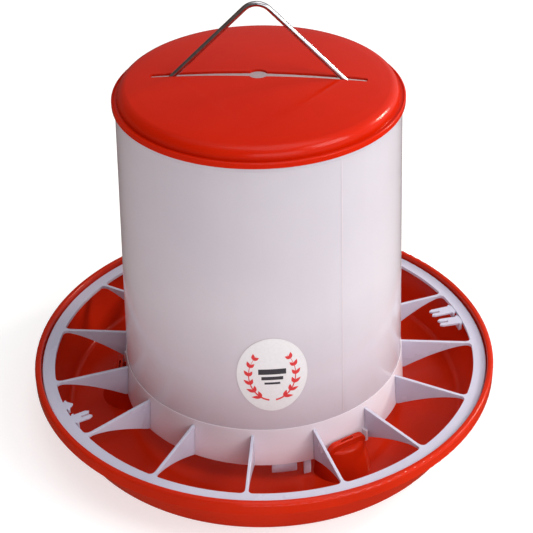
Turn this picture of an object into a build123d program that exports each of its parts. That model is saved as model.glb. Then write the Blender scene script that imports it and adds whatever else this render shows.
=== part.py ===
"""Gravity poultry feeder: pan, finned grille, hopper barrel, loose lid and wire bail.

Millimetres. The origin is the centre of the pan's underside, +Z is up, and X runs
along the handle's pivot line and the slot in the lid.
"""

import os
from math import cos, hypot, radians, sin, tan

from build123d import *

# ---------------------------------------------------------------- pan
PAN_BASE_R = 180.9        # where the wall's line meets the base plane
PAN_FLARE = 0.4656        # radius gained per millimetre of height
PAN_WALL = 2.2
PAN_CORNER_R = 8.0        # outside radius between base and wall
RIM_R = 206.4             # outside of the rolled rim
RIM_BOTTOM_Z = 40.0
RIM_TOP_Z = 52.0
LEDGE_Z = 43.7            # shelf that the grille ring lies on
LEDGE_IN_R = 195.5
LEDGE_OUT_R = 201.0
CONE_FOOT_R = 95.0        # feed-spreading cone in the pan floor
CONE_CAP_R = 8.0
CONE_TOP_Z = 45.0
FLOOR_IN_R = 100.0        # flat floor between cone and wall
FLOOR_OUT_R = 175.0
RIM_SEAM_Z = 38.0         # wall below, ledge and rolled rim above
SEAM = 0.02               # between the pan's four zones

# ---------------------------------------------------------------- lock posts
POST_AZ = (-53.7, 66.3, 186.3)
POST_FOOT_R = 120.0       # back of the foot, under the collar's lower edge
POST_FOOT_TOP_Z = 20.2
POST_IN_R = 129.3         # back face above the foot
POST_BASE_CENTRE_R = 123.5
POST_BASE_CURVE_R = 26.0  # half-round body, drafted upwards
POST_BODY_TOP_Z = 29.0
POST_TOP_CENTRE_R = 117.5
POST_TOP_CURVE_R = 22.5
POST_ROUND = 3.5          # rounding of the body's top edge
POST_TAB_HALF_W = 18.5    # upright tab on the body
POST_TAB_T = 5.0
POST_TAB_LOW_Z = 27.0
POST_TAB_TOP_Z = 35.2
POST_TAB_CORNER_R = 7.0
POST_TAB_ROUND = 1.2
POST_SLOT_W = 12.0
POST_SLOT_T = 1.6
POST_SLOT_DEPTH = 4.0

# ---------------------------------------------------------------- hopper barrel
BARREL_R = 123.9          # outside radius at the grille ring's top
BARREL_TAPER = 0.0330     # radius lost per millimetre of height
BARREL_REF_Z = 47.0
BARREL_WALL = 2.2
BARREL_BOTTOM_Z = 22.5
BARREL_TOP_Z = 304.5
BEAD_R = 116.5            # rolled bead round the mouth
BEAD_BOTTOM_Z = 299.0

# ---------------------------------------------------------------- grille
COLLAR_BOTTOM_Z = 20.5
COLLAR_TOP_Z = 57.0
COLLAR_WALL = 1.9
COLLAR_TOP_WALL = 0.5     # the collar thins to a feather edge
COLLAR_GAP = 0.2          # between barrel and collar
COLLAR_LIP_IN_R = 121.5   # inward lip that the barrel stands on
RING_IN_R = 189.0
RING_OUT_R = 200.0
RING_BOTTOM_Z = 44.0
RING_TOP_Z = 47.0
FIN_COUNT = 15
FIN_FIRST_AZ = -90.0
FIN_T = 2.6
FIN_ARCH_POWER = 1.45
FIN_GAP = 0.05            # between a fin and the collar
FIN_OUT_R = 184.0         # where a fin meets the ring's short root
FIN_ROOT_TOP_Z = 51.5
FIN_ARCH = 23.4           # how far the lower edge sweeps down to the collar
ROOT_FILLET = 4.0

# ------------------------------------------------- tabs under the collar's edge
WIDE_TAB = (-29.2, -19.5, 11.5)      # start and end angle from a post, lower z
STOP_TAB = (-16.7, -13.9, 6.0)
NUB_ANGLES = (9.8, 10.9)             # upright nubs either side of a post
NUB_OUT_R = 131.0
NUB_TOP_Z = 31.0

# ---------------------------------------------------------------- clips on the ring
CLIP_W = 10.0
CLIP_T = 2.0
CLIP_MID_Z = 45.5
CLIP_ROOT_R = 188.9
CLIPS = (
    # name, azimuth, tip radius, whole fork, plate drop
    ("ring_clip_1", 22.5, 165.3, True, 6.0),
    ("ring_clip_2", 17.0, 167.2, True, 8.0),
    ("ring_clip_3", -151.8, 181.0, False, 5.0),
    ("ring_clip_4", -145.6, 172.0, True, 7.0),
)

# ---------------------------------------------------------------- lid
LID_R = 118.1
LID_T = 2.0
LID_LIP_T = 1.2
LID_DOME_R = 98.0        # where the dome meets the shoulder
LID_LIP_BOTTOM_Z = 302.6
LID_FLANGE_Z = 304.8      # underside of the flange, just above the barrel's bead
LID_CROWN_Z = 322.3
LID_SHOULDER_Z = 317.6
LID_SHOULDER_R = 112.6
SLOT_END_X = 87.5
SLOT_HALF_W_MID = 4.4
SLOT_HALF_W_END = 2.8
LID_HOLE_R = 8.0

# ---------------------------------------------------------------- handle
WIRE_R = 2.2
PIVOT_Z = 288.0
LEG_ANGLE = 45.0          # above the horizontal
LEG_AT_LID_X = 67.0
LEG_AT_LID_Z = 320.5
WIRE_BEND_R = 14.0
WIRE_KNEE_R = 8.0
WIRE_END_X = 110.5
LUG_IN_X = 104.5
LUG_OUT_R = 113.4
LUG_HALF_W = 6.0
LUG_HALF_H = 7.0
LUG_BORE_R = 2.25
LUG_BORE_END_X = 111.0

# ---------------------------------------------------------------- label
LABEL_HALF_W = 28.8
LABEL_HALF_H = 36.0
LABEL_AZ = -82.0
LABEL_Z = 113.0
LABEL_T = 0.35


def barrel_radius(z):
    return BARREL_R - BARREL_TAPER * (z - BARREL_REF_Z)


def radial_plane(azimuth):
    """Upright plane through the Z axis: local x is outward, local y is up."""
    a = radians(azimuth)
    return Plane(origin=(0, 0, 0), x_dir=(cos(a), sin(a), 0), z_dir=(sin(a), -cos(a), 0))


def outward_plane(azimuth, z):
    """Plane on the Z axis facing outward: local y is up."""
    a = radians(azimuth)
    return Plane(origin=(0, 0, z), x_dir=(-sin(a), cos(a), 0), z_dir=(cos(a), sin(a), 0))


def save(part, node):
    part.label = node
    export_step(part, f"parts/{node}.step")


os.makedirs("parts", exist_ok=True)

# ================================================================ pan
wall_dr = PAN_WALL * hypot(1, PAN_FLARE)
floor_in_r = PAN_BASE_R + PAN_FLARE * PAN_WALL - wall_dr
ledge_foot_z = PAN_WALL + (LEDGE_IN_R - floor_in_r) / PAN_FLARE
rim_root_r = PAN_BASE_R + PAN_FLARE * RIM_BOTTOM_Z
cone_slope = (CONE_TOP_Z - PAN_WALL) / (CONE_FOOT_R - CONE_CAP_R)
cone_drop = PAN_WALL * hypot(1, cone_slope)
cone_under_r = CONE_CAP_R + (CONE_TOP_Z - cone_drop) / cone_slope

with BuildPart() as feed_cone:
    with BuildSketch(Plane.XZ) as cone_profile:
        with BuildLine():
            Polyline(
                (0, CONE_TOP_Z - cone_drop),
                (0, CONE_TOP_Z),
                (CONE_CAP_R, CONE_TOP_Z),
                (CONE_FOOT_R, PAN_WALL),
                (FLOOR_IN_R - SEAM, PAN_WALL),
                (FLOOR_IN_R - SEAM, 0),
                (cone_under_r, 0),
                (CONE_CAP_R, CONE_TOP_Z - cone_drop),
                close=True,
            )
        make_face()
        fillet(cone_profile.vertices().sort_by_distance((CONE_CAP_R, CONE_TOP_Z))[0], 12.0)
        fillet(cone_profile.vertices().sort_by_distance((CONE_FOOT_R, PAN_WALL))[0], 10.0)
    revolve(axis=Axis.Z)
save(feed_cone.part, "feed_cone")

with BuildPart() as pan_floor:
    with BuildSketch(Plane.XY):
        Circle(FLOOR_OUT_R)
        Circle(FLOOR_IN_R, mode=Mode.SUBTRACT)
    extrude(amount=PAN_WALL)
save(pan_floor.part, "pan_floor")

with BuildPart() as pan_edge:
    with BuildSketch(Plane.XZ) as edge_profile:
        with BuildLine():
            Polyline(
                (FLOOR_OUT_R + SEAM, 0),
                (FLOOR_OUT_R + SEAM, PAN_WALL),
                (floor_in_r, PAN_WALL),
                (LEDGE_IN_R, ledge_foot_z),
                (LEDGE_IN_R, LEDGE_Z),
                (LEDGE_OUT_R, LEDGE_Z),
                (LEDGE_OUT_R, RIM_TOP_Z),
                (RIM_R, RIM_TOP_Z),
                (RIM_R, RIM_BOTTOM_Z),
                (rim_root_r, RIM_BOTTOM_Z),
                (PAN_BASE_R, 0),
                close=True,
            )
        make_face()
        for corner, radius in (
            ((PAN_BASE_R, 0), PAN_CORNER_R),
            ((floor_in_r, PAN_WALL), PAN_CORNER_R - PAN_WALL),
            ((RIM_R, RIM_TOP_Z), 2.6),
            ((LEDGE_OUT_R, RIM_TOP_Z), 1.6),
            ((RIM_R, RIM_BOTTOM_Z), 1.2),
            ((rim_root_r, RIM_BOTTOM_Z), 1.5),
        ):
            fillet(edge_profile.vertices().sort_by_distance(corner)[0], radius)
    revolve(axis=Axis.Z)

with BuildPart() as pan_wall:
    add(pan_edge.part)
    split(bisect_by=Plane.XY.offset(RIM_SEAM_Z), keep=Keep.BOTTOM)
save(pan_wall.part, "pan_wall")

with BuildPart() as pan_rim:
    add(pan_edge.part)
    split(bisect_by=Plane.XY.offset(RIM_SEAM_Z + SEAM), keep=Keep.TOP)
save(pan_rim.part, "pan_rim")

# ================================================================ lock posts
tab_front_r = POST_IN_R + POST_TAB_T

for number, azimuth in enumerate(POST_AZ, start=1):
    with BuildPart() as lock_post:
        for low_z, centre_r, curve_r in (
            (PAN_WALL, POST_BASE_CENTRE_R, POST_BASE_CURVE_R),
            (POST_BODY_TOP_Z, POST_TOP_CENTRE_R, POST_TOP_CURVE_R),
        ):
            with BuildSketch(Plane.XY.offset(low_z).rotated((0, 0, azimuth))):
                with Locations((centre_r, 0)):
                    Circle(curve_r)
        loft()
        for low_z, back_r in ((0, POST_FOOT_R), (POST_FOOT_TOP_Z, POST_IN_R)):
            with BuildSketch(Plane.XY.offset(low_z).rotated((0, 0, azimuth))):
                with Locations((back_r - 30, 0)):
                    Rectangle(60, 60)
            extrude(amount=POST_BODY_TOP_Z, mode=Mode.SUBTRACT)
        top_edges = lock_post.faces().sort_by(Axis.Z)[-1].edges()
        fillet(top_edges.sort_by(lambda e: hypot((e @ 0.5).X, (e @ 0.5).Y))[-1], POST_ROUND)
        with BuildSketch(outward_plane(azimuth, 0).offset(POST_IN_R)):
            with BuildLine():
                FilletPolyline(
                    (-POST_TAB_HALF_W, POST_TAB_LOW_Z),
                    (-POST_TAB_HALF_W, POST_TAB_TOP_Z),
                    (POST_TAB_HALF_W, POST_TAB_TOP_Z),
                    (POST_TAB_HALF_W, POST_TAB_LOW_Z),
                    radius=POST_TAB_CORNER_R,
                )
                Line((POST_TAB_HALF_W, POST_TAB_LOW_Z), (-POST_TAB_HALF_W, POST_TAB_LOW_Z))
            make_face()
        extrude(amount=POST_TAB_T)
        tab_front = lock_post.faces().filter_by(GeomType.PLANE).sort_by(
            lambda f: abs(hypot(f.center().X, f.center().Y) - tab_front_r)
        )[0]
        rounded = tab_front.edges().filter_by_position(
            Axis.Z, POST_TAB_TOP_Z - POST_TAB_CORNER_R / 2, POST_TAB_TOP_Z
        )
        fillet(rounded, POST_TAB_ROUND)
        with BuildSketch(
            Plane.XY.offset(POST_TAB_TOP_Z - POST_SLOT_DEPTH).rotated((0, 0, azimuth))
        ):
            with Locations(((POST_IN_R + tab_front_r) / 2, 0)):
                Rectangle(POST_SLOT_T, POST_SLOT_W)
        extrude(amount=2 * POST_SLOT_DEPTH, mode=Mode.SUBTRACT)
    save(lock_post.part, f"lock_post_{number}")

# ================================================================ hopper barrel
with BuildPart() as hopper_barrel:
    with BuildSketch(Plane.XZ) as barrel_profile:
        with BuildLine():
            Polyline(
                (barrel_radius(BARREL_BOTTOM_Z) - BARREL_WALL, BARREL_BOTTOM_Z),
                (barrel_radius(BARREL_BOTTOM_Z), BARREL_BOTTOM_Z),
                (barrel_radius(BEAD_BOTTOM_Z), BEAD_BOTTOM_Z),
                (BEAD_R, BEAD_BOTTOM_Z),
                (BEAD_R, BARREL_TOP_Z),
                (barrel_radius(BARREL_TOP_Z) - BARREL_WALL, BARREL_TOP_Z),
                close=True,
            )
        make_face()
        fillet(barrel_profile.vertices().sort_by_distance((BEAD_R, BEAD_BOTTOM_Z))[0], 0.7)
        fillet(barrel_profile.vertices().sort_by_distance((BEAD_R, BARREL_TOP_Z))[0], 1.2)
    revolve(axis=Axis.Z)
save(hopper_barrel.part, "hopper_barrel")

# ================================================================ grille collar
collar_foot_r = barrel_radius(COLLAR_BOTTOM_Z) + COLLAR_GAP
collar_head_r = barrel_radius(COLLAR_TOP_Z) + COLLAR_GAP
tab_in_r = collar_foot_r + 0.1
tab_out_r = collar_foot_r + COLLAR_WALL
collar_slope = (tab_out_r - collar_head_r - COLLAR_TOP_WALL) / (COLLAR_TOP_Z - COLLAR_BOTTOM_Z)

with BuildPart() as grille_collar:
    with BuildSketch(Plane.XZ):
        with BuildLine():
            Polyline(
                (COLLAR_LIP_IN_R, COLLAR_BOTTOM_Z),
                (tab_out_r, COLLAR_BOTTOM_Z),
                (collar_head_r + COLLAR_TOP_WALL, COLLAR_TOP_Z),
                (collar_head_r, COLLAR_TOP_Z),
                (collar_foot_r, BARREL_BOTTOM_Z),
                (COLLAR_LIP_IN_R, BARREL_BOTTOM_Z),
                close=True,
            )
        make_face()
    revolve(axis=Axis.Z)
    for post_az in POST_AZ:
        for side in (-1, 1):
            start = post_az + side * NUB_ANGLES[0]
            turn = side * (NUB_ANGLES[1] - NUB_ANGLES[0])
            with BuildSketch(Plane.XY.offset(COLLAR_BOTTOM_Z)):
                with BuildLine():
                    outer = CenterArc((0, 0), NUB_OUT_R, start, turn)
                    inner = CenterArc((0, 0), tab_out_r - 1.0, start, turn)
                    Line(outer @ 0, inner @ 0)
                    Line(outer @ 1, inner @ 1)
                make_face()
            extrude(amount=NUB_TOP_Z - COLLAR_BOTTOM_Z)
save(grille_collar.part, "grille_collar")

# ================================================================ tabs below the collar
for number, post_az in enumerate(POST_AZ, start=1):
    for node, (start, end, low_z) in (("step_tab", WIDE_TAB), ("stop_tab", STOP_TAB)):
        with BuildPart() as tab:
            with BuildSketch(Plane.XY.offset(low_z)):
                with BuildLine():
                    outer = CenterArc((0, 0), tab_out_r - 0.1, post_az + start, end - start)
                    inner = CenterArc((0, 0), tab_in_r, post_az + start, end - start)
                    Line(outer @ 0, inner @ 0)
                    Line(outer @ 1, inner @ 1)
                make_face()
            extrude(amount=COLLAR_BOTTOM_Z - low_z)
        save(tab.part, f"{node}_{number}")

# ================================================================ grille ring
with BuildPart() as grille_ring:
    with BuildSketch(Plane.XY.offset(RING_BOTTOM_Z)) as ring_sketch:
        Circle(RING_OUT_R)
        Circle(RING_IN_R, mode=Mode.SUBTRACT)
        with PolarLocations(FIN_OUT_R + 4.0, FIN_COUNT, start_angle=FIN_FIRST_AZ):
            Rectangle(8.0, FIN_T)
        inner_corners = [
            v for v in ring_sketch.vertices()
            if abs(hypot(v.X, v.Y) - RING_IN_R) < 0.4
        ]
        fillet(inner_corners, ROOT_FILLET)
    extrude(amount=RING_TOP_Z - RING_BOTTOM_Z)
    fillet(grille_ring.edges().filter_by(GeomType.CIRCLE).sort_by(SortBy.RADIUS)[-2:], 0.8)
save(grille_ring.part, "grille_ring")

# ================================================================ grille fins
fin_low_r = tab_out_r + FIN_GAP
fin_high_r = collar_head_r + COLLAR_TOP_WALL + FIN_GAP + collar_slope * (
    COLLAR_TOP_Z - FIN_ROOT_TOP_Z
)
fin_reach = FIN_OUT_R - 0.05 - fin_low_r
lower_edge = [
    (
        fin_low_r + fin_reach * t,
        RING_BOTTOM_Z - FIN_ARCH * (1 - t) ** FIN_ARCH_POWER,
    )
    for t in (0.04, 0.2, 0.4, 0.6, 0.8, 1.0)
]

for number in range(1, FIN_COUNT + 1):
    azimuth = FIN_FIRST_AZ + (number - 1) * 360 / FIN_COUNT
    with BuildPart() as fin:
        with BuildSketch(radial_plane(azimuth)):
            with BuildLine():
                Spline(*lower_edge)
                Polyline(
                    lower_edge[-1],
                    (FIN_OUT_R - 0.05, RING_TOP_Z),
                    (fin_high_r, FIN_ROOT_TOP_Z),
                    (fin_low_r, lower_edge[0][1]),
                    lower_edge[0],
                )
            make_face()
        extrude(amount=FIN_T / 2, both=True)
    save(fin.part, f"fin_{number:02d}")

# ================================================================ ring clips
for node, azimuth, tip_r, whole, drop in CLIPS:
    arm_plane = Plane.XY.offset(CLIP_MID_Z - CLIP_T / 2).rotated((0, 0, azimuth))
    plate_r = CLIP_ROOT_R - 1.5
    with BuildPart() as ring_clip:
        with BuildSketch(arm_plane):
            with BuildLine():
                if whole:
                    Polyline(
                        (CLIP_ROOT_R, -CLIP_W / 2),
                        (tip_r + 3, -CLIP_W / 2),
                        (tip_r, -CLIP_W / 2 + 1.6),
                        (tip_r + 1.5, -1.3),
                        (tip_r + 9, -1.3),
                        (tip_r + 9, 1.3),
                        (tip_r + 1.5, 1.3),
                        (tip_r, CLIP_W / 2 - 1.6),
                        (tip_r + 3, CLIP_W / 2),
                        (CLIP_ROOT_R, CLIP_W / 2),
                        close=True,
                    )
                else:
                    Polyline(
                        (CLIP_ROOT_R, -CLIP_W / 2),
                        (CLIP_ROOT_R - 3, -CLIP_W / 2),
                        (tip_r, 0.4),
                        (CLIP_ROOT_R - 4, CLIP_W / 2 - 1),
                        (CLIP_ROOT_R, CLIP_W / 2),
                        close=True,
                    )
            make_face()
        extrude(amount=CLIP_T)
        with BuildSketch(outward_plane(azimuth, CLIP_MID_Z).offset(plate_r - 2)) as plate:
            Rectangle(13.0, 2 * drop)
            fillet(plate.vertices(), 3.0)
            with Locations((0, drop)):
                Rectangle(14.0, 2 * drop - CLIP_T, mode=Mode.SUBTRACT)
        extrude(amount=2.0)
    save(ring_clip.part, node)

# ================================================================ handle lugs
for node, side in (("handle_lug_right", 1), ("handle_lug_left", -1)):
    with BuildPart() as handle_lug:
        with Locations((side * (LUG_IN_X + 10), 0, PIVOT_Z)):
            Box(20, 2 * LUG_HALF_W, 2 * LUG_HALF_H)
        with Locations((0, 0, PIVOT_Z)):
            Cylinder(LUG_OUT_R, 4 * LUG_HALF_H, mode=Mode.INTERSECT)
        fillet(handle_lug.edges().filter_by(Axis.X), 3.0)
        with BuildSketch(Plane.YZ.offset(side * LUG_IN_X)):
            with Locations((0, PIVOT_Z)):
                Circle(LUG_BORE_R)
        extrude(amount=side * (LUG_BORE_END_X - LUG_IN_X), mode=Mode.SUBTRACT)
    save(handle_lug.part, node)

# ================================================================ label
label_low = LABEL_Z - LABEL_HALF_H - 5
label_high = LABEL_Z + LABEL_HALF_H + 5
with BuildPart() as label:
    with BuildSketch(Plane.XZ):
        with BuildLine():
            Polyline(
                (barrel_radius(label_low) + 0.05, label_low),
                (barrel_radius(label_low) + LABEL_T, label_low),
                (barrel_radius(label_high) + LABEL_T, label_high),
                (barrel_radius(label_high) + 0.05, label_high),
                close=True,
            )
        make_face()
    revolve(axis=Axis.Z)
    with BuildSketch(outward_plane(LABEL_AZ, LABEL_Z)):
        Ellipse(LABEL_HALF_W, LABEL_HALF_H)
    extrude(amount=BARREL_R + 10, mode=Mode.INTERSECT)
save(label.part, "label")

# ================================================================ lid
groove_z = LID_FLANGE_Z + 1.4
with BuildPart() as lid:
    with BuildSketch(Plane.XZ) as lid_profile:
        with BuildLine():
            ThreePointArc(
                (0, LID_CROWN_Z), (50, LID_CROWN_Z - 1.2), (LID_DOME_R, LID_SHOULDER_Z)
            )
            Polyline(
                (LID_DOME_R, LID_SHOULDER_Z),
                (LID_SHOULDER_R, LID_SHOULDER_Z - 2.0),
                (LID_SHOULDER_R + 1.3, groove_z),
                (LID_SHOULDER_R + 3.4, groove_z),
                (LID_SHOULDER_R + 4.2, groove_z + 1.0),
                (LID_R, groove_z + 0.6),
                (LID_R, LID_LIP_BOTTOM_Z),
                (LID_R - LID_LIP_T, LID_LIP_BOTTOM_Z),
                (LID_R - LID_LIP_T, LID_FLANGE_Z),
                (LID_SHOULDER_R - 0.9, LID_FLANGE_Z),
                (LID_SHOULDER_R - 2.1, LID_SHOULDER_Z - 4.2),
                (LID_DOME_R - 0.5, LID_SHOULDER_Z - LID_T),
            )
            ThreePointArc(
                (LID_DOME_R - 0.5, LID_SHOULDER_Z - LID_T),
                (50, LID_CROWN_Z - 1.2 - LID_T),
                (0, LID_CROWN_Z - LID_T),
            )
            Line((0, LID_CROWN_Z - LID_T), (0, LID_CROWN_Z))
        make_face()
        shoulder = (LID_SHOULDER_R, LID_SHOULDER_Z - 2.0)
        fillet(lid_profile.vertices().sort_by_distance(shoulder)[0], 9.0)
        under_shoulder = (LID_SHOULDER_R - 2.1, LID_SHOULDER_Z - 4.2)
        fillet(lid_profile.vertices().sort_by_distance(under_shoulder)[0], 7.0)
        fillet(lid_profile.vertices().sort_by_distance((LID_R, groove_z + 0.6))[0], 1.0)
    revolve(axis=Axis.Z)
    with BuildSketch(Plane.XY.offset(LID_LIP_BOTTOM_Z)):
        Polygon(
            (-SLOT_END_X + SLOT_HALF_W_END, -SLOT_HALF_W_END),
            (0, -SLOT_HALF_W_MID),
            (SLOT_END_X - SLOT_HALF_W_END, -SLOT_HALF_W_END),
            (SLOT_END_X - SLOT_HALF_W_END, SLOT_HALF_W_END),
            (0, SLOT_HALF_W_MID),
            (-SLOT_END_X + SLOT_HALF_W_END, SLOT_HALF_W_END),
            align=None,
        )
        with Locations((SLOT_END_X - SLOT_HALF_W_END, 0), (-SLOT_END_X + SLOT_HALF_W_END, 0)):
            Circle(SLOT_HALF_W_END)
        Circle(LID_HOLE_R)
    extrude(amount=LID_CROWN_Z + 1 - LID_LIP_BOTTOM_Z, mode=Mode.SUBTRACT)
save(lid.part, "lid")

# ================================================================ wire handle
leg_slope = tan(radians(LEG_ANGLE))
knee_x = LEG_AT_LID_X + (LEG_AT_LID_Z - PIVOT_Z) / leg_slope
apex_z = PIVOT_Z + knee_x * leg_slope
bend_x = knee_x / 2
bend_z = apex_z - bend_x * leg_slope
with BuildPart() as handle_wire:
    with BuildLine(Plane.XZ) as wire_path:
        FilletPolyline(
            (-WIRE_END_X, PIVOT_Z), (-knee_x, PIVOT_Z), (-bend_x, bend_z), radius=WIRE_KNEE_R
        )
        FilletPolyline((-bend_x, bend_z), (0, apex_z), (bend_x, bend_z), radius=WIRE_BEND_R)
        FilletPolyline(
            (bend_x, bend_z), (knee_x, PIVOT_Z), (WIRE_END_X, PIVOT_Z), radius=WIRE_KNEE_R
        )
    with BuildSketch(Plane(origin=(-WIRE_END_X, 0, PIVOT_Z), z_dir=(1, 0, 0))):
        Circle(WIRE_R)
    sweep(path=wire_path.wire())
save(handle_wire.part, "handle_wire")
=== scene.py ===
"""Gravity poultry feeder: materials, fine detail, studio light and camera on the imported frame."""

import math

import bmesh
import bpy
from mathutils import Matrix, Vector


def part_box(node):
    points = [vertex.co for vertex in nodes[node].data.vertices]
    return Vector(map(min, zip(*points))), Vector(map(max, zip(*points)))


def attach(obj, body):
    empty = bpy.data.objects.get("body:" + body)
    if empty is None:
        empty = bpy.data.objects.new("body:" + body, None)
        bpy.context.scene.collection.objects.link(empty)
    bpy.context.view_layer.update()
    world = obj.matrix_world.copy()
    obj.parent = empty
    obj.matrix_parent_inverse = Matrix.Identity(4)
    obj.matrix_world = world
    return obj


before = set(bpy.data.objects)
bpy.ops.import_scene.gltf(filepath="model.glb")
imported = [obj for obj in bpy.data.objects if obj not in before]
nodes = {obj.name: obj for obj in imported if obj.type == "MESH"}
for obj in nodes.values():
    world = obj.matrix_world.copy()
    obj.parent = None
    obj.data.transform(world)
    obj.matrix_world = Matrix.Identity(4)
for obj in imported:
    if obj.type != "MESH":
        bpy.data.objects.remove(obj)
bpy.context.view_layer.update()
scene = bpy.context.scene


# ------------------------------------------------------------------ node helpers
def new_material(name):
    """A node material with one Principled shader wired to its output."""
    mat = bpy.data.materials.new(name)
    mat.use_nodes = True
    tree = mat.node_tree
    tree.nodes.clear()
    out = tree.nodes.new("ShaderNodeOutputMaterial")
    shader = tree.nodes.new("ShaderNodeBsdfPrincipled")
    tree.links.new(shader.outputs["BSDF"], out.inputs["Surface"])
    return mat, tree, shader


def add(tree, kind, **values):
    """A node of the given kind, with input sockets or settings filled in by name."""
    node = tree.nodes.new(kind)
    for key, value in values.items():
        if key in node.inputs:
            node.inputs[key].default_value = value
        else:
            setattr(node, key, value)
    return node


def object_coords(tree, scale=(1, 1, 1)):
    """Object coordinates in metres, stretched by the scale."""
    coord = tree.nodes.new("ShaderNodeTexCoord")
    mapping = tree.nodes.new("ShaderNodeMapping")
    mapping.inputs["Scale"].default_value = scale
    tree.links.new(coord.outputs["Object"], mapping.inputs["Vector"])
    return mapping.outputs["Vector"]


def noise(tree, coords, scale, detail=4.0, roughness=0.55):
    node = add(tree, "ShaderNodeTexNoise", Scale=scale, Detail=detail, Roughness=roughness)
    tree.links.new(coords, node.inputs["Vector"])
    return node.outputs["Fac"]


def ramp(tree, fac, stops):
    """Colour ramp through (position, colour) stops."""
    node = tree.nodes.new("ShaderNodeValToRGB")
    elements = node.color_ramp.elements
    while len(elements) < len(stops):
        elements.new(0.5)
    for element, (place, colour) in zip(elements, stops):
        element.position = place
        element.color = (*colour, 1.0)
    tree.links.new(fac, node.inputs["Fac"])
    return node.outputs["Color"]


def spread(tree, fac, low, high, start=0.0, end=1.0):
    """Maps start..end of a value onto low..high."""
    node = tree.nodes.new("ShaderNodeMapRange")
    node.inputs["From Min"].default_value = start
    node.inputs["From Max"].default_value = end
    node.inputs["To Min"].default_value = low
    node.inputs["To Max"].default_value = high
    tree.links.new(fac, node.inputs["Value"])
    return node.outputs["Result"]


def bump(tree, shader, height, strength, distance, under=None):
    """Bump on the shader, laid over another bump when one is given."""
    node = add(tree, "ShaderNodeBump", Strength=strength, Distance=distance)
    tree.links.new(height, node.inputs["Height"])
    if under is not None:
        tree.links.new(under, node.inputs["Normal"])
    tree.links.new(node.outputs["Normal"], shader.inputs["Normal"])
    return node.outputs["Normal"]


def mix(tree, fac, first, second):
    """Colour mix; either side may be a plain colour or a socket."""
    node = tree.nodes.new("ShaderNodeMix")
    node.data_type = "RGBA"
    tree.links.new(fac, node.inputs["Factor"])
    for value, socket in ((first, node.inputs["A"]), (second, node.inputs["B"])):
        if isinstance(value, tuple):
            socket.default_value = (*value, 1.0)
        else:
            tree.links.new(value, socket)
    return node.outputs["Result"]


# ------------------------------------------------------------------ materials
PAN_GLOW_Z = (0.02, 0.17)    # painted red glow of the pan, seen through and reflected in the milky walls, fades out between these heights


def red_plastic(name, deep, bright, wear, gloss):
    """Glossy moulded polypropylene: faint flow clouds, soft waviness, hairline scuffs."""
    mat, tree, shader = new_material(name)
    coords = object_coords(tree)
    clouds = noise(tree, coords, scale=9.0, detail=3.0)
    colour = ramp(tree, clouds, ((0.3, deep), (0.7, bright)))
    hairs = noise(
        tree, object_coords(tree, (1.0, 14.0, 3.0)), scale=90.0, detail=6.0, roughness=0.75)
    marks = ramp(tree, hairs, ((0.64, (0, 0, 0)), (0.76, (wear, wear, wear))))
    pale = (bright[0] * 1.1, bright[1] * 2.4 + 0.02, bright[2] * 3.0 + 0.015)
    tree.links.new(mix(tree, marks, colour, pale), shader.inputs["Base Color"])
    grain = noise(tree, coords, scale=900.0, detail=2.0)
    smudges = noise(tree, coords, scale=22.0, detail=4.0, roughness=0.65)
    both = add(tree, "ShaderNodeMath", operation="ADD")
    tree.links.new(spread(tree, grain, -0.03, 0.03, start=0.3, end=0.7), both.inputs[0])
    tree.links.new(
        spread(tree, smudges, gloss - 0.04, gloss + 0.08, start=0.3, end=0.7), both.inputs[1])
    tree.links.new(both.outputs["Value"], shader.inputs["Roughness"])
    waves = noise(tree, coords, scale=20.0, detail=2.0)
    wavy = bump(tree, shader, waves, strength=0.04, distance=0.0012)
    bump(tree, shader, grain, strength=0.02, distance=0.0002, under=wavy)
    shader.inputs["IOR"].default_value = 1.49
    shader.inputs["Specular IOR Level"].default_value = 0.16
    shader.inputs["Subsurface Weight"].default_value = 0.08
    shader.inputs["Subsurface Radius"].default_value = (0.005, 0.0008, 0.0004)
    shader.inputs["Subsurface Scale"].default_value = 1.0
    return mat


def milky_plastic(name, cool, warm, weight, depth, gloss):
    """Milky polyolefin: cloudy tint, faint flow lines, light bleeding through the wall, painted red
    glow of the pan low down.
    """
    mat, tree, shader = new_material(name)
    coords = object_coords(tree)
    clouds = noise(tree, coords, scale=6.0, detail=3.0)
    colour = ramp(tree, clouds, ((0.3, cool), (0.7, warm)))
    flow = noise(
        tree, object_coords(tree, (1.0, 1.0, 0.08)), scale=60.0, detail=3.0, roughness=0.5)
    faint = ramp(tree, flow, ((0.5, (0, 0, 0)), (0.8, (0.10, 0.10, 0.10))))
    shade = tuple(0.86 * c for c in cool)
    streaked = mix(tree, faint, colour, shade)
    height = tree.nodes.new("ShaderNodeSeparateXYZ")
    tree.links.new(coords, height.inputs["Vector"])
    # painted red glow of the pan: strongest at the foot of the wall, gone at the upper height
    low = spread(tree, height.outputs["Z"], 0.55, 0.0, start=PAN_GLOW_Z[0], end=PAN_GLOW_Z[1])
    painted_pan_glow = (0.88 * cool[0], 0.72 * cool[1], 0.78 * cool[2])
    tree.links.new(mix(tree, low, streaked, painted_pan_glow), shader.inputs["Base Color"])
    smudges = noise(tree, coords, scale=15.0, detail=4.0, roughness=0.6)
    tree.links.new(
        spread(tree, smudges, gloss - 0.03, gloss + 0.07, start=0.3, end=0.7),
        shader.inputs["Roughness"])
    waves = noise(tree, coords, scale=16.0, detail=1.0)
    wavy = bump(tree, shader, waves, strength=0.03, distance=0.0015)
    grain = noise(tree, coords, scale=800.0, detail=2.0)
    bump(tree, shader, grain, strength=0.015, distance=0.0002, under=wavy)
    shader.inputs["IOR"].default_value = 1.5
    shader.inputs["Subsurface Weight"].default_value = weight
    shader.inputs["Subsurface Radius"].default_value = (depth, 0.85 * depth, 0.80 * depth)
    shader.inputs["Subsurface Scale"].default_value = 1.0
    return mat


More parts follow.
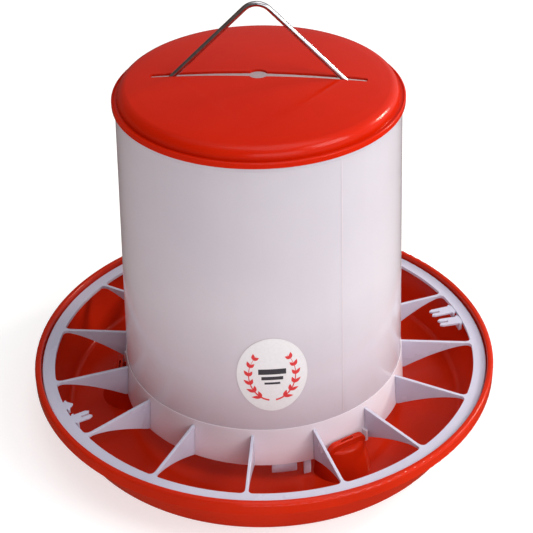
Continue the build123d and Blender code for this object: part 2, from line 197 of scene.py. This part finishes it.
def wire_steel():
    """Bright drawn wire: lengthwise drawing lines and dull zinc patches."""
    mat, tree, shader = new_material("wire_steel")
    coords = object_coords(tree)
    patches = noise(tree, coords, scale=120.0, detail=5.0, roughness=0.7)
    colour = ramp(tree, patches, ((0.3, (0.34, 0.33, 0.35)), (0.7, (0.60, 0.59, 0.61))))
    tree.links.new(colour, shader.inputs["Base Color"])
    lines = noise(tree, object_coords(tree, (1.0, 9.0, 1.0)), scale=520.0, detail=3.0)
    tree.links.new(
        spread(tree, lines, 0.08, 0.24, start=0.3, end=0.7), shader.inputs["Roughness"])
    bump(tree, shader, lines, strength=0.08, distance=0.0003)
    shader.inputs["Metallic"].default_value = 1.0
    return mat


def printed(name, base, gloss):
    """Flat ink or label stock with a little press mottle."""
    mat, tree, shader = new_material(name)
    coords = object_coords(tree)
    mottle = noise(tree, coords, scale=420.0, detail=4.0, roughness=0.6)
    darker = tuple(0.94 * c for c in base)
    tree.links.new(ramp(tree, mottle, ((0.3, darker), (0.7, base))), shader.inputs["Base Color"])
    tree.links.new(spread(tree, mottle, gloss - 0.05, gloss + 0.05), shader.inputs["Roughness"])
    grain = noise(tree, coords, scale=900.0, detail=2.0)
    bump(tree, shader, grain, strength=0.04, distance=0.0002)
    return mat


pan_red = red_plastic(
    "pan_red", deep=(0.47, 0.015, 0.002), bright=(0.54, 0.019, 0.003), wear=0.10, gloss=0.16)
lid_red = red_plastic(
    "lid_red", deep=(0.50, 0.010, 0.0003), bright=(0.56, 0.014, 0.0006), wear=0.05, gloss=0.16)
barrel_white = milky_plastic(
    "barrel_white", cool=(0.56, 0.525, 0.59), warm=(0.62, 0.585, 0.64),
    weight=0.50, depth=0.020, gloss=0.12)
collar_white = milky_plastic(
    "collar_white", cool=(0.90, 0.87, 0.93), warm=(0.93, 0.90, 0.95),
    weight=0.15, depth=0.006, gloss=0.14)
seam_white = milky_plastic(
    "seam_white", cool=(0.64, 0.58, 0.62), warm=(0.68, 0.62, 0.66),
    weight=0.0, depth=0.004, gloss=0.14)
grille_white = milky_plastic(
    "grille_white", cool=(0.56, 0.605, 0.725), warm=(0.62, 0.64, 0.74),
    weight=0.30, depth=0.005, gloss=0.22)
steel = wire_steel()
label_stock = printed("label_stock", base=(0.80, 0.775, 0.79), gloss=0.38)
ink_red = printed("ink_red", base=(0.72, 0.035, 0.040), gloss=0.40)
ink_grey = printed("ink_grey", base=(0.045, 0.045, 0.055), gloss=0.42)


def paint(item, material):
    """Puts the material on the object itself, so that the shared mesh stays as it is."""
    if not item.material_slots:
        item.data.materials.append(material)
    for entry in item.material_slots:
        entry.link = "OBJECT"
        entry.material = material


for node, item in nodes.items():
    if node == "lid":
        paint(item, lid_red)
    elif node.startswith(("feed_cone", "pan_", "lock_post")):
        paint(item, pan_red)
    elif node == "hopper_barrel" or node.startswith("handle_lug"):
        paint(item, barrel_white)
    elif node == "grille_collar":
        paint(item, collar_white)
    elif node == "handle_wire":
        paint(item, steel)
    elif node == "label":
        paint(item, label_stock)
    else:
        paint(item, grille_white)


# ------------------------------------------------------------------ softened edges
WELD_WITHIN = 1e-6
CREASE_ANGLE = math.radians(32.0)
FIN_EDGE = 0.0005
SMALL_EDGE = 0.0003


def soften(node, width):
    """A moulded edge: welds the facets together and rounds every crease."""
    item = nodes[node]
    weld = item.modifiers.new("weld", "WELD")
    weld.merge_threshold = WELD_WITHIN
    bevel = item.modifiers.new("round", "BEVEL")
    bevel.width = width
    bevel.segments = 2
    bevel.limit_method = "ANGLE"
    bevel.angle_limit = CREASE_ANGLE
    bevel.harden_normals = True


for node in nodes:
    if node.startswith("fin_"):
        soften(node, FIN_EDGE)
    elif node.startswith(("ring_clip", "step_tab", "stop_tab")):
        soften(node, SMALL_EDGE)


# ------------------------------------------------------------------ strips on the barrel
barrel_top_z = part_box("hopper_barrel")[1][2]
label_low, label_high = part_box("label")
LABEL_AZ = math.atan2(label_low[1] + label_high[1], label_low[0] + label_high[0])
LABEL_MID_Z = (label_low[2] + label_high[2]) / 2
BARREL_REF_R = 0.1239     # outer radius at the reference height
BARREL_REF_Z = 0.047
BARREL_TAPER = 0.0330     # radius lost per metre of height
PRINT_LIFT = (0.00030, 0.00042)     # underside and top of the print, from the barrel's skin


def on_barrel(across, z, lift, azimuth):
    """Point on the barrel's skin: across is measured round it from the azimuth."""
    radius = BARREL_REF_R - BARREL_TAPER * (z - BARREL_REF_Z) + lift
    angle = azimuth + across / BARREL_REF_R
    return (radius * math.cos(angle), radius * math.sin(angle), z)


def strip(name, stations, material, slot, azimuth, low, high):
    """Thin solid band that follows the barrel; stations are (left, right) pairs of (across, z)."""
    mesh = bmesh.new()
    rings = []
    for left, right in stations:
        rings.append([
            mesh.verts.new(on_barrel(*left, low, azimuth)),
            mesh.verts.new(on_barrel(*right, low, azimuth)),
            mesh.verts.new(on_barrel(*right, high, azimuth)),
            mesh.verts.new(on_barrel(*left, high, azimuth)),
        ])
    mesh.faces.new(rings[0])
    mesh.faces.new(rings[-1])
    for first, second in zip(rings, rings[1:]):
        for k in range(4):
            n = (k + 1) % 4
            mesh.faces.new((first[k], first[n], second[n], second[k]))
    bmesh.ops.recalc_face_normals(mesh, faces=mesh.faces)
    data = bpy.data.meshes.new(name)
    mesh.to_mesh(data)
    mesh.free()
    item = bpy.data.objects.new(name, data)
    scene.collection.objects.link(item)
    data.materials.append(material)
    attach(item, "hopper")


def place(name, stations, material):
    """A strip of print, with heights measured from the middle of the label."""
    shifted = [
        ((left[0], LABEL_MID_Z + left[1]), (right[0], LABEL_MID_Z + right[1]))
        for left, right in stations
    ]
    strip(name, shifted, material, "label_print", LABEL_AZ, *PRINT_LIFT)


LEAF_STEPS = 8
LEAF_HALF_W = 0.0015
LEAF_TIP = 0.04           # half width left at the pointed ends, as a share of the widest


def leaf(name, base, heading, length):
    """Pointed leaf on the label, from its base point along a heading in degrees."""
    a = math.radians(heading)
    along = Vector((math.cos(a), math.sin(a)))
    across = Vector((-along.y, along.x))
    stations = []
    for k in range(LEAF_STEPS + 1):
        t = k / LEAF_STEPS
        half = LEAF_HALF_W * max(LEAF_TIP, math.sin(math.pi * t ** 0.8))
        centre = Vector(base) + along * length * t
        stations.append((centre + across * half, centre - across * half))
    place(name, stations, ink_red)


# two sprigs of leaves curve up either side of three plain bars
SPRIG_X = 0.0195          # half axes of the oval that the stems follow
SPRIG_Z = 0.0250
STEM_STEPS = 24
STEM_FROM = -82           # degrees round the oval
STEM_SWEEP = 132
STEM_HALF_W = 0.0007
LEAF_PAIRS = 6
LEAF_FROM = -62
LEAF_EVERY = 20
LEAVES = (("out", -32, 0.0078), ("in", 34, 0.0066))     # lean from the stem, length
BAR_STEPS = 8
BARS = (                  # half width, half height, height on the label
    (0.0115, 0.0026, 0.0035),
    (0.0090, 0.0016, -0.0030),
    (0.0065, 0.0010, -0.0080),
)

for side_name, sign in (("left", -1), ("right", 1)):
    stem = []
    for k in range(STEM_STEPS + 1):
        t = math.radians(STEM_FROM + STEM_SWEEP * k / STEM_STEPS)
        width = STEM_HALF_W * (1.15 - k / STEM_STEPS)
        inner = (sign * (SPRIG_X - width) * math.cos(t), (SPRIG_Z - width) * math.sin(t))
        outer = (sign * (SPRIG_X + width) * math.cos(t), (SPRIG_Z + width) * math.sin(t))
        stem.append((inner, outer))
    place(f"sprig_{side_name}", stem, ink_red)
    for k in range(LEAF_PAIRS):
        t = math.radians(LEAF_FROM + LEAF_EVERY * k)
        base = (sign * SPRIG_X * math.cos(t), SPRIG_Z * math.sin(t))
        rise, run = SPRIG_Z * math.cos(t), -sign * SPRIG_X * math.sin(t)
        tangent = math.degrees(math.atan2(rise, run))
        for way, lean, length in LEAVES:
            heading = tangent + lean * sign
            leaf(f"leaf_{side_name}_{k}_{way}", base, heading, length * (1.05 - 0.05 * k))

for k, (half, thick, z) in enumerate(BARS):
    xs = [half * (2 * i / BAR_STEPS - 1) for i in range(BAR_STEPS + 1)]
    place(f"bar_{k + 1}", [((x, z - thick), (x, z + thick)) for x in xs], ink_grey)

# parting lines of the blow mould, either side of the barrel
LINE_LOW_Z = 0.0600
LINE_TOP_GAP = 0.0075     # the lines stop short of the mouth's bead
LINE_HALF_W = 0.0004
LINE_LIFT = (-0.0002, 0.00005)
LINE_STEPS = 24
line_rise = barrel_top_z - LINE_TOP_GAP - LINE_LOW_Z

for name, azimuth in (("mould_line_front", -53.0), ("mould_line_back", 127.0)):
    column = []
    for k in range(LINE_STEPS + 1):
        z = LINE_LOW_Z + line_rise * k / LINE_STEPS
        column.append(((-LINE_HALF_W, z), (LINE_HALF_W, z)))
    strip(name, column, seam_white, "barrel_plastic", math.radians(azimuth), *LINE_LIFT)


# ------------------------------------------------------------------ stage and light
FLOOR_HALF = 60.0
FLOOR_Z = -0.0004
WALL_R = 9.0
WALL_Z = (-0.01, 12.0)
WALL_SIDES = 24


def paper(name, corners, faces, base, specular, light, strength):
    """A sheet of matt paper that gives off a little light of its own."""
    mat, _, shader = new_material(f"{name}_paper")
    shader.inputs["Base Color"].default_value = (*base, 1.0)
    shader.inputs["Roughness"].default_value = 0.9
    shader.inputs["Specular IOR Level"].default_value = specular
    shader.inputs["Emission Color"].default_value = (*light, 1.0)
    shader.inputs["Emission Strength"].default_value = strength
    mesh = bpy.data.meshes.new(name)
    mesh.from_pydata(corners, [], faces)
    mesh.materials.append(mat)
    item = bpy.data.objects.new(name, mesh)
    scene.collection.objects.link(item)
    item.visible_glossy = False
    return item


floor = paper(
    "floor",
    [(x * FLOOR_HALF, y * FLOOR_HALF, FLOOR_Z) for x, y in ((-1, -1), (1, -1), (1, 1), (-1, 1))],
    [(0, 1, 2, 3)],
    base=(0.55, 0.55, 0.55), specular=0.1, light=(1.0, 1.0, 1.0), strength=0.62)

# a pale paper wall all round, seen by the camera alone
around = [math.radians(360 * k / WALL_SIDES) for k in range(WALL_SIDES)]
backdrop = paper(
    "backdrop",
    [(math.cos(a) * WALL_R, math.sin(a) * WALL_R, z) for z in WALL_Z for a in around],
    [(k, (k + 1) % WALL_SIDES, (k + 1) % WALL_SIDES + WALL_SIDES, k + WALL_SIDES)
     for k in range(WALL_SIDES)],
    base=(0.0, 0.0, 0.0), specular=0.0, light=(0.96, 0.96, 0.96), strength=0.95)
backdrop.visible_diffuse = False
backdrop.visible_transmission = False
backdrop.visible_volume_scatter = False
backdrop.visible_shadow = False

# the room: bright to the right, dim and warm to the left, light above, dark ground below
world = bpy.data.worlds.new("studio")
world.use_nodes = True
room = world.node_tree
compass = room.nodes.new("ShaderNodeTexCoord")
split = room.nodes.new("ShaderNodeSeparateXYZ")
room.links.new(compass.outputs["Generated"], split.inputs["Vector"])
sideways = spread(room, split.outputs["X"], 0.0, 1.0, start=-1.0, end=1.0)
walls = ramp(room, sideways, (
    (0.0, (0.10, 0.065, 0.05)),
    (0.5, (0.26, 0.26, 0.27)),
    (0.75, (0.62, 0.62, 0.64)),
    (1.0, (0.85, 0.85, 0.87)),
))
ceiling = ramp(room, split.outputs["Z"], ((0.75, (0, 0, 0)), (0.97, (1, 1, 1))))
upper = mix(room, ceiling, walls, (0.80, 0.79, 0.78))
upright = spread(room, split.outputs["Z"], 0.0, 1.0, start=-1.0, end=1.0)
below = ramp(room, upright, ((0.42, (1, 1, 1)), (0.48, (0, 0, 0))))
everything = mix(room, below, upper, (0.10, 0.055, 0.04))
room.links.new(everything, room.nodes["Background"].inputs["Color"])
room.nodes["Background"].inputs["Strength"].default_value = 1.0
scene.world = world
scene.view_settings.view_transform = "Standard"


def lamp(name, kind, at, power, tint):
    """A lamp of the given kind; returns its data and its object."""
    data = bpy.data.lights.new(name, kind)
    data.energy = power
    data.color = tint
    item = bpy.data.objects.new(name, data)
    item.location = at
    scene.collection.objects.link(item)
    return data, item


def softbox(name, at, aim_z, size, power, tint=(1, 1, 1)):
    """Rectangular lamp aimed at a point on the feeder's axis."""
    data, item = lamp(name, "AREA", at, power, tint)
    data.shape = "RECTANGLE"
    data.size, data.size_y = size
    aim = Vector((0, 0, aim_z)) - Vector(at)
    item.rotation_euler = aim.to_track_quat("-Z", "Y").to_euler()


softbox("key", (1.5, -0.7, 1.4), 0.15, (0.9, 0.9), power=17.0, tint=(1.0, 0.985, 0.96))
softbox("front", (0.6, -1.9, 0.9), 0.15, (1.4, 0.9), power=9.0, tint=(0.98, 0.98, 1.0))

# light inside the hopper, standing in for daylight that soaks through its milky wall
glow, glow_item = lamp("glow", "POINT", (0.0, 0.0, 0.15), power=0.22, tint=(1.0, 0.93, 0.86))
glow.shadow_soft_size = 0.05
glow_item.visible_camera = False
glow_item.visible_glossy = False

softbox("sun", (1.7, 0.9, 1.0), 0.22, (0.35, 0.35), power=20.0, tint=(1.0, 0.93, 0.80))
softbox("overhead", (0.3, -0.2, 2.2), 0.2, (1.4, 1.4), power=9.0)


# ------------------------------------------------------------------ camera
CAMERA_AT = (0.0, -0.9766, 0.7963)
CAMERA_ANGLES = (0.222, 34.025, -1.098)     # yaw, downward pitch and roll, in degrees
TURN = 5.0                # the whole view turned round the feeder, in degrees
FOCAL_TO_FRAME = 1350.0 / 533.0
SENSOR_MM = 36.0

yaw, pitch, roll = (math.radians(a) for a in CAMERA_ANGLES)
forward = Vector((
    math.sin(yaw) * math.cos(pitch), math.cos(yaw) * math.cos(pitch), -math.sin(pitch)))
side = Vector((math.cos(yaw), -math.sin(yaw), 0.0))
upward = side.cross(forward)
right = math.cos(roll) * side + math.sin(roll) * upward
top = -math.sin(roll) * side + math.cos(roll) * upward
turn = Matrix.Rotation(math.radians(TURN), 3, "Z")
axes = Matrix((turn @ right, turn @ top, turn @ -forward)).transposed()
camera_data = bpy.data.cameras.new("camera")
camera_data.sensor_width = SENSOR_MM
camera_data.lens = FOCAL_TO_FRAME * SENSOR_MM
camera = bpy.data.objects.new("camera", camera_data)
camera.matrix_world = Matrix.Translation(turn @ Vector(CAMERA_AT)) @ axes.to_4x4()
scene.collection.objects.link(camera)
scene.camera = camera
